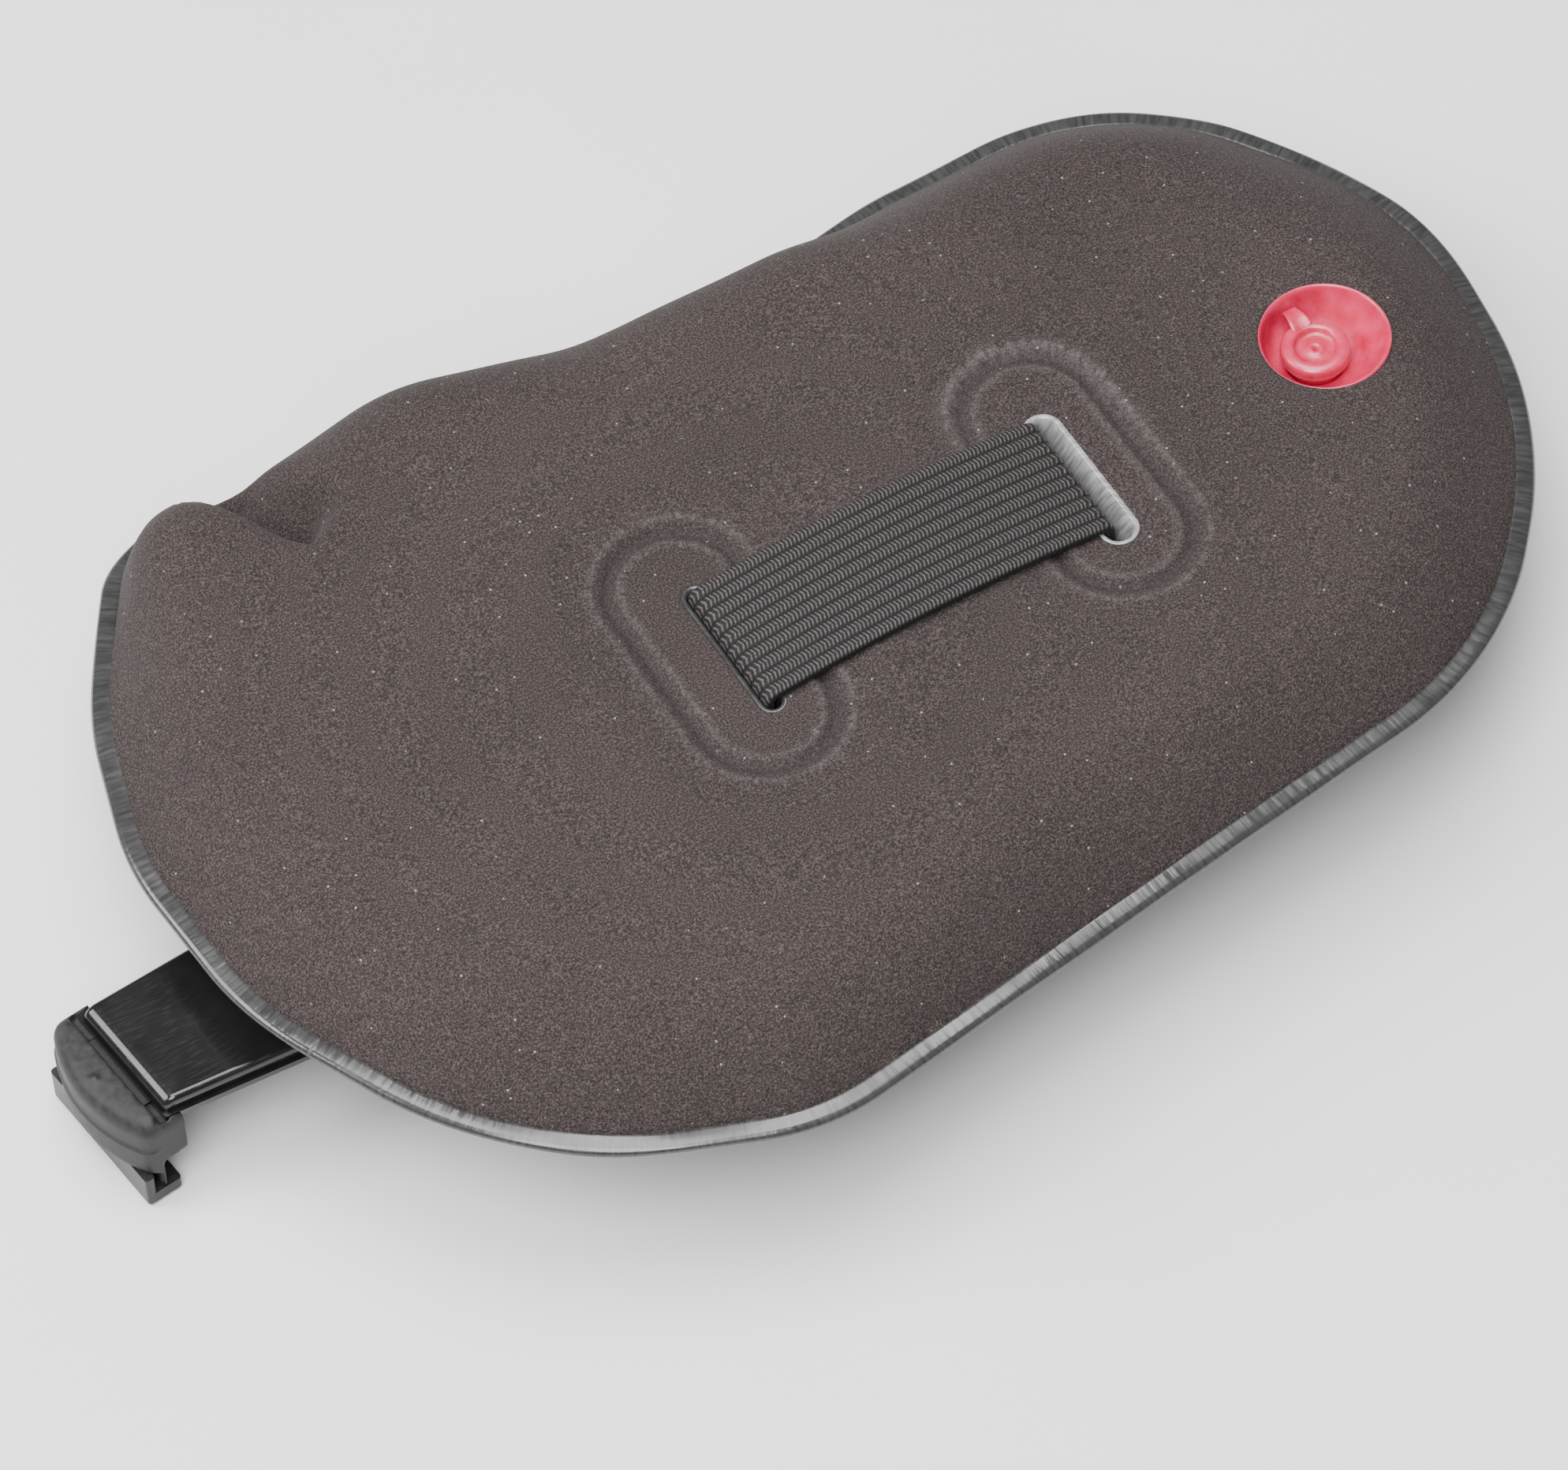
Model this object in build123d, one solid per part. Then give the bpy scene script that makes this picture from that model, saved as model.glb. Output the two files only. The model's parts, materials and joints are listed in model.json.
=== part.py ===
from build123d import *
import os

# Inflatable violin shoulder rest: an air cushion with a mouth valve, threaded on an elastic
# band that pulls two hook arms together over the edges of the instrument's back.
# Millimetres. X runs along the elastic band, Y towards the neck, +Z up towards the player.
# The origin is under the middle of the band, in the plane of the back's edge.

# driving dimensions
BACK_WIDTH = 202.0            # a full-size violin along the band, edge to edge
LEFT_EDGE_X = -115.6          # where the left edge of the back lies
EDGE_THICKNESS = 4.0          # overhanging edge of the back
RIM_Z = 20.0                  # weld line of the cushion
TOP_Z = 30.0
BOTTOM_Z = 10.5
SKIN = 1.2
BAND_WIDTH = 20.0
BAND_THICKNESS = 1.2
ARM_LENGTH = 50.0
ARM_TOP_Z = 10.0
ARM_THICKNESS = 3.0
VALVE_X, VALVE_Y = 64.5, 2.5

MIDDLE_X = LEFT_EDGE_X + BACK_WIDTH / 2
TOUCH = 0.05                  # air between pieces that only just meet

# cushion outline: corner, rounding radius
OUTLINE = [
    (-100, -12, 50), (-106, 36, 55), (-78, 66, 22), (25, 59.5, 60), (66, 59.5, 38),
    (92, 22, 46), (86.5, -17, 60), (60.5, -46.5, 48), (-47.5, -61.5, 32), (-84, -48.5, 55),
]
WELD_WIDTH = 3.0
WELD_THICKNESS = 1.8
PILLOW_RADIUS = 8.0

# slots for the band
SLOT_X = 26.1
SLOT_WIDTH = 4.4
SLOT_LENGTH = 24.0
SLEEVE_WALL = 0.8
SLEEVE_FLANGE = (17.5, 39.0)

# elastic band
BAND_TOP_Z = TOP_Z + 0.1
LEG_X = 25.0                  # middle of the band where it stands in the slot
RUN_Z = 8.6                   # middle of the band below the cushion
BAND_BEND = 1.2
LOOP_BAR = (4.0, 1.5)         # cross bar of the arm that the band is sewn around
LOOP_GAP = 0.1
SEAM_LENGTH = 7.0
WINDOW_LENGTH = 3.4           # opening in the arm that the band is turned through
WINDOW_PLAY = 0.4
THREAD = 0.25
STITCHES = 8
STITCH_SHARE = 0.7            # of the pitch that each stitch fills
STITCH_ROWS = 2
STITCH_ROWS_APART = 3.0
STITCH_START = 1.6

# hook, measured outwards (u) from the arm's end and sideways (v)
END_SLANT = 6.3               # degrees the arm's end is off square, to follow the bout
EDGE_U = 1.5                  # where the edge of the back bears on the rubber
ARM_END_X = LEFT_EDGE_X + EDGE_U
ARM_END_WIDTH = 18.0
ARM_INNER_WIDTH = 25.0
ARM_LEDGE = (0.6, 0.9)        # thin ledge along the arm's lower edge: reach, height
HOOK_WIDTH = 21.4
HOOK_U = 4.7
EDGE_PLAY = 0.8               # the lip stays this far below the edge
LIP_TOP_Z = -EDGE_THICKNESS - EDGE_PLAY
LIP_THICKNESS = 2.4
LIP_WALL = 3.4                # upstand along the outside of the lip
LIP_END_U = -0.4
LIP_CORNER = 0.5
LIP_ROUND = 0.8
JAW_Z = 0.4
STRIP_WIDTH = 12.0
STRIP_THICKNESS = 1.4
STRIP_END_U = -14.0
GRIP_BACK_U = -2.2
GRIP_BULGE_U = 6.3
GRIP_CORNER_U = 3.2
GRIP_TOP_Z = 8.8
GRIP_SHOULDER = 2.3
GRIP_CORNER = 2.4
NEST_PLAY = 0.4
NEST_U = 1.2                  # hollow in the rubber that the arm's end sits in
ARM_END_ROUND = 2.2
ARM_SIDE_ROUND = 0.9
SCREW_U = (-5.5, -11.0)
SCREW_R = 1.0
SCREW_HEAD_R = 2.1
SCREW_HEAD_H = 1.2
SCREW_TIP_Z = ARM_TOP_Z - 0.8
RECESS = (2.4, 0.5, 0.6)      # cross recess: length, width, depth
ARM_BOTTOM_Z = ARM_TOP_Z - ARM_THICKNESS

# valve
BOWL_R = 8.4
BOWL_FLOOR_R = 6.4
BOWL_FLOOR_Z = 24.6
VINYL = 0.8
FLANGE_R = 13.0
STEM_R = 3.7
STEM_BORE_R = 2.6
STEM_TOP_Z = 26.0
STEM_BOTTOM_Z = 17.0
PLUG_HEAD_R = 4.6
PLUG_HEAD_H = 1.7
PLUG_ROUND = 0.5
PLUG_DISH = (2.65, 0.7)       # hollow in the head: radius, depth
PLUG_NUB = (1.35, 0.25)       # disc in the hollow: radius, height
PLUG_SHANK_R = 2.55
PLUG_SHANK_END_Z = 20.5
FLAP_R = 3.4
FLAP_THICKNESS = 0.5
HINGE_REACH = 0.5             # the flap's hinge line, beyond its disc
HINGE_WIDTH = 2.0
TETHER_ANGLE = 95.0
TETHER_WIDTH = 2.4


def box(x0, x1, y0, y1, z0, z1):
    """Block between two opposite corners."""
    size = (x1 - x0, y1 - y0, z1 - z0)
    return Pos((x0 + x1) / 2, (y0 + y1) / 2, (z0 + z1) / 2) * Box(*size)


def rod(x, y, z0, z1, radius):
    """Upright cylinder."""
    return Pos(x, y, (z0 + z1) / 2) * Cylinder(radius, z1 - z0)


def cone(x, y, z0, z1, r0, r1):
    """Upright cone from radius r0 at z0 to r1 at z1."""
    return Pos(x, y, (z0 + z1) / 2) * Cone(r0, r1, z1 - z0)


def outline_face(inset):
    """The cushion's plan outline, drawn in by an inset."""
    corners = [(x, y) for x, y, radius in OUTLINE]
    radii = [radius for x, y, radius in OUTLINE]
    face = make_face(FilletPolyline(*corners, radius=radii, close=True))
    return offset(face, amount=-inset) if inset else face


def slab(face, z0, z1):
    """A flat face made solid between two heights."""
    return Pos(0, 0, z0) * extrude(face, z1 - z0)


def stadium(x, width, length, z0, z1):
    """Slot-shaped block with its long side along Y."""
    face = Rot(0, 0, 90) * SlotOverall(length, width)
    return Pos(x, 0, z0) * extrude(face, z1 - z0)


def pillow(inset, z0, z1, radius):
    """Block with the cushion's outline and its far edge rounded like a filled pad."""
    block = slab(outline_face(inset), min(z0, z1), max(z0, z1))
    far = block.faces().sort_by(Axis.Z)[-1 if z1 > z0 else 0]
    return fillet(far.edges(), radius)


def skin(far_z):
    """One half of the cushion: a domed shell with its half of the welded rim."""
    up = 1 if far_z > RIM_Z else -1
    inside_z = far_z - up * SKIN
    outer = pillow(WELD_WIDTH, RIM_Z, far_z, PILLOW_RADIUS)
    inner = pillow(WELD_WIDTH + SKIN, RIM_Z, inside_z, PILLOW_RADIUS - SKIN)
    weld_z = RIM_Z + up * WELD_THICKNESS / 2
    rim = slab(outline_face(0), min(RIM_Z, weld_z), max(RIM_Z, weld_z))
    shell = outer + rim - inner
    for side in (-1, 1):
        width = SLOT_WIDTH + 2 * SLEEVE_WALL
        length = SLOT_LENGTH + 2 * SLEEVE_WALL
        shell -= stadium(side * SLOT_X, width, length, BOTTOM_Z - 1, TOP_Z + 1)
    return shell


def cushion_top():
    """Top skin with the hole that the valve's bowl opens through."""
    return skin(TOP_Z) - rod(VALVE_X, VALVE_Y, RIM_Z, TOP_Z + 1, BOWL_R)


def slot_sleeve(side):
    """Vinyl tube that lines one slot, with a flange welded inside each skin."""
    x = side * SLOT_X
    width, length = SLEEVE_FLANGE
    tube_width = SLOT_WIDTH + 2 * SLEEVE_WALL
    tube_length = SLOT_LENGTH + 2 * SLEEVE_WALL
    tube = stadium(x, tube_width, tube_length, BOTTOM_Z, TOP_Z)
    upper_z = TOP_Z - SKIN
    lower_z = BOTTOM_Z + SKIN
    upper = stadium(x, width, length, upper_z - SLEEVE_WALL, upper_z)
    lower = stadium(x, width, length, lower_z, lower_z + SLEEVE_WALL)
    hole = stadium(x, SLOT_WIDTH, SLOT_LENGTH, BOTTOM_Z - 1, TOP_Z + 1)
    return tube + upper + lower - hole


def arm_inner_x(side):
    """Where an arm ends under the cushion; the two arms mirror each other."""
    left = ARM_END_X + ARM_LENGTH
    return left if side < 0 else 2 * MIDDLE_X - left


def seam_x(side):
    """Inner end of the sewn seam, towards the slot."""
    return arm_inner_x(side) - side * (LOOP_GAP + SEAM_LENGTH + BAND_THICKNESS)


def ribbon(points, radius):
    """Band of constant thickness along a rounded path in the XZ plane."""
    path = FilletPolyline(*[(x, 0, z) for x, z in points], radius=radius)
    section = Plane(path @ 0, x_dir=(0, 1, 0), z_dir=path % 0) * Rectangle(BAND_WIDTH, BAND_THICKNESS)
    return sweep(section, path)


def elastic_band():
    """Runs over the cushion, down both slots and outwards to the two seams."""
    top = BAND_TOP_Z + BAND_THICKNESS / 2
    left = seam_x(-1) + TOUCH
    right = seam_x(1) - TOUCH
    route = [(left, RUN_Z), (-LEG_X, RUN_Z), (-LEG_X, top), (LEG_X, top), (LEG_X, RUN_Z)]
    return ribbon(route + [(right, RUN_Z)], BAND_BEND)


def band_loop(side):
    """End of the band, turned around the arm's cross bar and sewn to itself."""
    bar_x = arm_inner_x(side) + side * LOOP_BAR[0] / 2
    inner = (LOOP_BAR[0] + 2 * LOOP_GAP, LOOP_BAR[1] + 2 * LOOP_GAP)
    outer = (inner[0] + 2 * BAND_THICKNESS, inner[1] + 2 * BAND_THICKNESS)
    z = RUN_Z - BAND_THICKNESS / 2
    half = BAND_WIDTH / 2
    ring = box(bar_x - outer[0] / 2, bar_x + outer[0] / 2, -half, half, z - outer[1] / 2, z + outer[1] / 2)
    ring = fillet(ring.edges().filter_by(Axis.Y), BAND_THICKNESS)
    end_x = seam_x(side)
    low, high = sorted((end_x, bar_x - side * outer[0] / 4))
    seam = box(low, high, -half, half, z - BAND_THICKNESS, z + BAND_THICKNESS)
    slot = inner[0] / 2
    hole = box(bar_x - slot, bar_x + slot, -half - 1, half + 1, z - inner[1] / 2, z + inner[1] / 2)
    return ring + seam - hole


def loop_stitching(side):
    """Two rows of thread through the seam, standing on its two faces."""
    z = RUN_Z - BAND_THICKNESS / 2
    pitch = BAND_WIDTH / STITCHES
    thread = []
    for row in range(STITCH_ROWS):
        x = seam_x(side) + side * (STITCH_START + row * STITCH_ROWS_APART)
        for k in range(STITCHES):
            y = -BAND_WIDTH / 2 + (k + 0.5) * pitch
            half = STITCH_SHARE * pitch / 2
            for face in (-1, 1):
                z0, z1 = sorted((z + face * BAND_THICKNESS, z + face * (BAND_THICKNESS + THREAD)))
                thread.append(box(x - THREAD, x + THREAD, y - half, y + half, z0, z1))
    return Compound(children=thread)


def hook_frame():
    """Places hook pieces, drawn with +X outwards from the arm's end, on the left arm."""
    return Pos(ARM_END_X, 0, 0) * Rot(0, 0, 180 + END_SLANT)


def screw_holes(radius, z0, z1):
    """Two upright cylinders where the strip is screwed to the arm."""
    return [rod(u, 0, z0, z1, radius) for u in SCREW_U]


def arm_blank(wider, top_z):
    """The arm's tapered plan, cut off on the slant of its end, in the hook's own frame."""
    past_end = 6.0
    x_out = ARM_END_X - past_end
    x_in = ARM_END_X + ARM_LENGTH
    taper = (ARM_INNER_WIDTH - ARM_END_WIDTH) / 2 / ARM_LENGTH
    half_out = ARM_END_WIDTH / 2 - past_end * taper + wider
    half_in = ARM_INNER_WIDTH / 2 + wider
    corners = [(x_out, -half_out), (x_in, -half_in), (x_in, half_in), (x_out, half_out)]
    plan = make_face(Polyline(*corners, close=True))
    blank = hook_frame().inverse() * slab(plan, ARM_BOTTOM_Z, top_z)
    return blank - box(0, 2 * past_end, -ARM_END_WIDTH, ARM_END_WIDTH, 0, 2 * ARM_TOP_Z)


def arm():
    """Moulded arm: rounded end over the hook, cross bar for the band at its inner end."""
    x_in = ARM_END_X + ARM_LENGTH
    ledge_reach, ledge_height = ARM_LEDGE
    body = arm_blank(0, ARM_TOP_Z)
    end = body.faces().sort_by(Axis.X)[-1]
    top_end = end.edges().sort_by(Axis.Z)[-1]
    body = fillet(top_end, ARM_END_ROUND)
    sides = body.faces().filter_by(lambda f: abs(f.normal_at().Y) > 0.9)
    tops = [face.edges().sort_by(Axis.Z)[-1] for face in sides]
    body = fillet(tops, ARM_SIDE_ROUND)
    body += arm_blank(ledge_reach, ARM_BOTTOM_Z + ledge_height)
    for hole in screw_holes(SCREW_R, ARM_BOTTOM_Z - 1, SCREW_TIP_Z):
        body -= hole
    body = hook_frame() * body
    inner = x_in - LOOP_BAR[0]
    half = BAND_WIDTH / 2 + WINDOW_PLAY
    body -= box(inner - WINDOW_LENGTH, inner, -half, half, ARM_BOTTOM_Z - 1, ARM_TOP_Z + 1)
    bar_z = RUN_Z - BAND_THICKNESS / 2
    low = bar_z - LOOP_BAR[1] / 2
    high = bar_z + LOOP_BAR[1] / 2
    body -= box(inner - TOUCH, x_in + 1, -half, half, high, ARM_TOP_Z + 1)
    body -= box(inner - TOUCH, x_in + 1, -half, half, ARM_BOTTOM_Z - 1, low)
    return body


def hook_strip():
    """Bent strip: flange under the arm, web down through the rubber, wide lip below."""
    lip_bottom = LIP_TOP_Z - LIP_THICKNESS
    half = STRIP_WIDTH / 2
    wide = HOOK_WIDTH / 2
    web_u = HOOK_U - STRIP_THICKNESS
    flange = box(STRIP_END_U, HOOK_U, -half, half, ARM_BOTTOM_Z - STRIP_THICKNESS, ARM_BOTTOM_Z)
    web = box(web_u, HOOK_U, -half, half, lip_bottom, ARM_BOTTOM_Z)
    wall = box(web_u, HOOK_U, -wide, wide, lip_bottom, LIP_TOP_Z + LIP_WALL)
    lip = box(LIP_END_U, HOOK_U, -wide, wide, lip_bottom, LIP_TOP_Z)
    strip = flange + web + wall + lip
    corners = [e for e in strip.edges().filter_by(Axis.Z) if abs(e.center().Y) > wide - TOUCH]
    strip = fillet(corners, LIP_CORNER)
    outer = [e for e in strip.edges().filter_by(Axis.Y) if e.center().Z < lip_bottom + TOUCH]
    strip = fillet(outer, LIP_ROUND)
    for hole in screw_holes(SCREW_R, 0, ARM_TOP_Z):
        strip -= hole
    return hook_frame() * strip


def rubber_grip():
    """Crescent of rubber that bulges outwards, with a jaw over the edge of the back."""
    half = HOOK_WIDTH / 2
    foot_z = LIP_TOP_Z
    side = Polyline((GRIP_CORNER_U, half), (GRIP_BACK_U, half), (GRIP_BACK_U, -half), (GRIP_CORNER_U, -half))
    bulge = ThreePointArc((GRIP_CORNER_U, -half), (GRIP_BULGE_U, 0), (GRIP_CORNER_U, half))
    body = slab(make_face(side + bulge), foot_z, GRIP_TOP_Z)
    corners = [e for e in body.edges().filter_by(Axis.Z) if e.center().X > 0]
    body = fillet(corners, GRIP_CORNER)
    shoulder = [e for e in body.faces().sort_by(Axis.Z)[-1].edges() if e.center().X > GRIP_BACK_U + 0.1]
    body = fillet(shoulder, GRIP_SHOULDER)
    arm_half = ARM_END_WIDTH / 2 + ARM_LEDGE[0] + NEST_PLAY
    body -= box(GRIP_BACK_U - 1, NEST_U, -arm_half, arm_half, ARM_BOTTOM_Z, GRIP_TOP_Z + 1)
    body -= box(GRIP_BACK_U - 1, EDGE_U, -half - 1, half + 1, foot_z - 1, JAW_Z)
    strip_half = STRIP_WIDTH / 2
    wall_top = LIP_TOP_Z + LIP_WALL
    web_u = HOOK_U - STRIP_THICKNESS
    body -= box(web_u, HOOK_U, -strip_half, strip_half, foot_z - 1, ARM_BOTTOM_Z)
    flange_z = ARM_BOTTOM_Z - STRIP_THICKNESS
    body -= box(GRIP_BACK_U - 1, HOOK_U, -strip_half, strip_half, flange_z, ARM_BOTTOM_Z)
    body -= box(web_u, GRIP_BULGE_U + 1, -half - 1, half + 1, foot_z - 1, wall_top)
    return hook_frame() * body


def hook_screws():
    """Two pan-head screws driven upwards through the strip into the arm."""
    length, width, depth = RECESS
    flange_z = ARM_BOTTOM_Z - STRIP_THICKNESS
    head_z = flange_z - SCREW_HEAD_H
    screws = []
    for u in SCREW_U:
        head = rod(u, 0, head_z, flange_z, SCREW_HEAD_R)
        recess = Pos(u, 0, head_z + depth / 2) * Box(length, width, depth)
        recess += Pos(u, 0, head_z + depth / 2) * Box(width, length, depth)
        shank = rod(u, 0, flange_z, SCREW_TIP_Z, SCREW_R)
        screws.append(head + shank - recess)
    return hook_frame() * Compound(children=screws)


def valve_body():
    """Soft vinyl bowl with a flange welded under the top skin."""
    lip_z = TOP_Z - SKIN
    flange = rod(VALVE_X, VALVE_Y, lip_z - VINYL, lip_z, FLANGE_R)
    outside = cone(VALVE_X, VALVE_Y, BOWL_FLOOR_Z - VINYL, TOP_Z, BOWL_FLOOR_R, BOWL_R)
    inside = cone(VALVE_X, VALVE_Y, BOWL_FLOOR_Z, TOP_Z, BOWL_FLOOR_R - VINYL, BOWL_R - VINYL)
    bore = rod(VALVE_X, VALVE_Y, BOWL_FLOOR_Z - 2, TOP_Z, STEM_R)
    return flange + outside - inside - bore


def valve_stem():
    """Tube that is blown into, bonded through the floor of the bowl."""
    tube = rod(VALVE_X, VALVE_Y, STEM_BOTTOM_Z, STEM_TOP_Z, STEM_R)
    return tube - rod(VALVE_X, VALVE_Y, STEM_BOTTOM_Z - 1, STEM_TOP_Z + 1, STEM_BORE_R)


def valve_flap():
    """Non-return flap across the lower mouth of the stem, with a rounded hinge edge."""
    top = STEM_BOTTOM_Z - TOUCH
    half = HINGE_WIDTH / 2
    hinge_x = VALVE_X - FLAP_R - HINGE_REACH
    disc = rod(VALVE_X, VALVE_Y, top - FLAP_THICKNESS, top, FLAP_R)
    tab = box(hinge_x, VALVE_X - FLAP_R / 2, VALVE_Y - half, VALVE_Y + half, top - FLAP_THICKNESS, top)
    bead = Cylinder(FLAP_THICKNESS / 2, HINGE_WIDTH)
    return disc + tab + Pos(hinge_x, VALVE_Y, top - FLAP_THICKNESS / 2) * Rot(90, 0, 0) * bead


def valve_plug():
    """Stopper with a dished, ringed head and a shank that fills the stem's bore."""
    head_z = STEM_TOP_Z + TOUCH
    top = head_z + PLUG_HEAD_H
    head = rod(VALVE_X, VALVE_Y, head_z, top, PLUG_HEAD_R)
    head = fillet(head.faces().sort_by(Axis.Z)[-1].edges(), PLUG_ROUND)
    floor_z = top - PLUG_DISH[1]
    dish = rod(VALVE_X, VALVE_Y, floor_z, top + 1, PLUG_DISH[0])
    nub = rod(VALVE_X, VALVE_Y, floor_z, floor_z + PLUG_NUB[1], PLUG_NUB[0])
    shank = rod(VALVE_X, VALVE_Y, PLUG_SHANK_END_Z, head_z, PLUG_SHANK_R)
    return head - dish + nub + shank


def valve_tether():
    """Strap that keeps the plug on the bowl."""
    z = STEM_TOP_Z + 0.4
    reach = BOWL_FLOOR_R - VINYL + 0.5
    strap = box(PLUG_HEAD_R + TOUCH, reach, -TETHER_WIDTH / 2, TETHER_WIDTH / 2, z, z + VINYL)
    return Pos(VALVE_X, VALVE_Y, 0) * Rot(0, 0, TETHER_ANGLE) * strap


def right_hand(shape):
    """The right-hand copy of a left-hand piece, mirrored about the bracket's middle."""
    return mirror(shape, about=Plane.YZ.offset(MIDDLE_X))


def all_parts():
    """Every separate piece, by name."""
    parts = {
        "cushion_top_skin": cushion_top(),
        "cushion_bottom_skin": skin(BOTTOM_Z),
        "elastic_band": elastic_band(),
        "valve_body": valve_body(),
        "valve_stem": valve_stem(),
        "valve_flap": valve_flap(),
        "valve_plug": valve_plug(),
        "valve_tether": valve_tether(),
    }
    for name, side in (("left", -1), ("right", 1)):
        parts["slot_sleeve_" + name] = slot_sleeve(side)
        parts["band_loop_" + name] = band_loop(side)
        parts["loop_stitching_" + name] = loop_stitching(side)
    left = {
        "hook_arm": arm(),
        "hook_strip": hook_strip(),
        "rubber_grip": rubber_grip(),
        "hook_screws": hook_screws(),
    }
    for name, shape in left.items():
        parts[name + "_left"] = shape
        parts[name + "_right"] = right_hand(shape)
    return parts


os.makedirs("parts", exist_ok=True)
for part_name, part_shape in all_parts().items():
    export_step(part_shape, "parts/" + part_name + ".step")
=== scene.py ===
import json
import math

import bmesh
import bpy
import numpy as np
from mathutils import Matrix, Vector, noise
from mathutils.geometry import delaunay_2d_cdt
from mathutils.kdtree import KDTree


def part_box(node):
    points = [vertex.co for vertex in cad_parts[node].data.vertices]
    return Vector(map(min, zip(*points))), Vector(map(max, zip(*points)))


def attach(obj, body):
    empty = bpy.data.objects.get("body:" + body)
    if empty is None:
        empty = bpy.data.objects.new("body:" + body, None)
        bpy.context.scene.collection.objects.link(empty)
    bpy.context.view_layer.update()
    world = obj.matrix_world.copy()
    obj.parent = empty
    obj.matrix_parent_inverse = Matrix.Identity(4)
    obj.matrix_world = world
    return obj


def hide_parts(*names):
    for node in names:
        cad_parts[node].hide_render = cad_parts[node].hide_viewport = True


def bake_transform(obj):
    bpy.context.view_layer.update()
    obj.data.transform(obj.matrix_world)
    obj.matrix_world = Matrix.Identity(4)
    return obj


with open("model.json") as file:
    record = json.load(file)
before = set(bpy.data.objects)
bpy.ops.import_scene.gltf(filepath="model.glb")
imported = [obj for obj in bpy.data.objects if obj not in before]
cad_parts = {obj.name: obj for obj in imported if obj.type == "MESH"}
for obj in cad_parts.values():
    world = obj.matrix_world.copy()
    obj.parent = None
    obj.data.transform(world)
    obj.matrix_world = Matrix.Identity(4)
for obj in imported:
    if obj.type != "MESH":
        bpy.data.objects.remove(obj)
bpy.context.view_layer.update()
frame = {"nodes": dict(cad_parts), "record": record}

# Inflatable violin shoulder rest. Lengths are millimetres until a mesh is made; Blender's are metres.
MM = 0.001


# ---------------------------------------------------------------- sizes, from the frame

def cad(node):
    """Lowest and highest corner of a CAD node, in millimetres."""
    low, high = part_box(node)
    return np.array(low) / MM, np.array(high) / MM


def mount(name):
    """Position of one of the record's mounts, in millimetres."""
    found = [m for m in frame["record"]["mounts"] if m["name"] == name]
    return np.array(found[0]["pos_m"]) / MM


RIM_Z = cad("cushion_top_skin")[0][2]
TOP_Z = cad("cushion_top_skin")[1][2]
BOTTOM_Z = cad("cushion_bottom_skin")[0][2]
FLOOR_Z = cad("hook_strip_left")[0][2]
VALVE_X, VALVE_Y = np.mean(cad("valve_stem"), axis=0)[:2]
SLOT_X = np.mean(cad("slot_sleeve_right"), axis=0)[0]
STEM_TOP_Z = cad("valve_stem")[1][2]
PLUG_TOP_Z = cad("valve_plug")[1][2]
BAND_WIDTH = cad("elastic_band")[1][1] - cad("elastic_band")[0][1]
MIDDLE_X = (mount("left_edge_grip")[0] + mount("right_edge_grip")[0]) / 2

# cushion outline: corner, rounding radius
OUTLINE = [
    (-100.6, -10, 50), (-102.4, 18, 40), (-95.8, 40.5, 50), (-79, 67.5, 15), (-62, 64.4, 20),
    (-40, 67.2, 40), (-12, 60.6, 50), (25, 59.8, 60), (67.5, 60, 36), (92, 22, 46),
    (86.5, -17, 60), (60.5, -46.5, 48), (-47.5, -61.5, 32), (-83.2, -47.8, 55),
]
WELD_WIDTH = 2.9
WELD_HALF = 0.8
CUP_LIFT = 1.0                # of the floor of the valve's pocket, above the underside

# the dent: where it starts, and the cosine and sine of its line
DENT_X, DENT_Y = -69.0, 56.5
DENT_COS, DENT_SIN = 0.474, 0.880
DENT_DEPTH = 10.0
LOBE_HEIGHT = 2.0

# mesh of a skin: spacing of its points, rows of finer ones beside each edge, and how far those reach
GRID = 1.35
WELD_ROWS = (2.65, 3.1, 3.7, 4.4, 5.2, 6.2, 7.3, 8.4)
SLOT_ROWS = (0.5, 1.2)
RING_ROWS = (-2.6, -2.0, -1.5, -1.0, -0.5, 0, 0.5, 1.0, 1.5, 2.1, 2.8)
BOWL_ROWS = (0.4, 1.0, 1.9)
WELD_REACH, SLOT_REACH, RING_REACH, BOWL_REACH = 9.3, 2.0, 3.4, 2.7
BOWL_POINTS = 80

LINER = 0.8
RING_WIDTH, RING_LENGTH = 17.5, 40.0
RING_Y = 0.5
BOWL_R = 8.5
VALVE_LEAN = np.array((-1.0, 0.5))

BAND_THICKNESS = 1.2
LEG_X = 25.0
# The band's pull closes the left slot against it and opens the right one: x, y, width, length
SLOTS = {-1: (-LEG_X + 0.35, -0.2, 2.2, 21.0), 1: (LEG_X + 0.85, -0.8, 3.7, 21.8)}
RUN_Z = 8.6
RIBS = 10
LOOP_PITCH = 0.56             # of the knit, along the band
KNIT_HEIGHT = 0.09

EDGE_U = 1.5
END_SLANT = math.radians(6.3)
ARM_END_X = mount("left_edge_grip")[0] + EDGE_U


# ---------------------------------------------------------------- shapes

def smooth(value, low, high):
    """0 below low, 1 above high, and an even curve between; low may be the larger."""
    t = np.clip((np.asarray(value, float) - low) / (high - low), 0, 1)
    return t * t * (3 - 2 * t)


def bump_at(x, y, cx, cy, rx, ry=None, turn=0.0):
    """Soft round bump of height 1 at (cx, cy), its long axis turned by an angle."""
    ry = rx if ry is None else ry
    c, s = math.cos(turn), math.sin(turn)
    along = (x - cx) * c + (y - cy) * s
    across = -(x - cx) * s + (y - cy) * c
    return np.exp(-(along / rx) ** 2 - (across / ry) ** 2)


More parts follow.
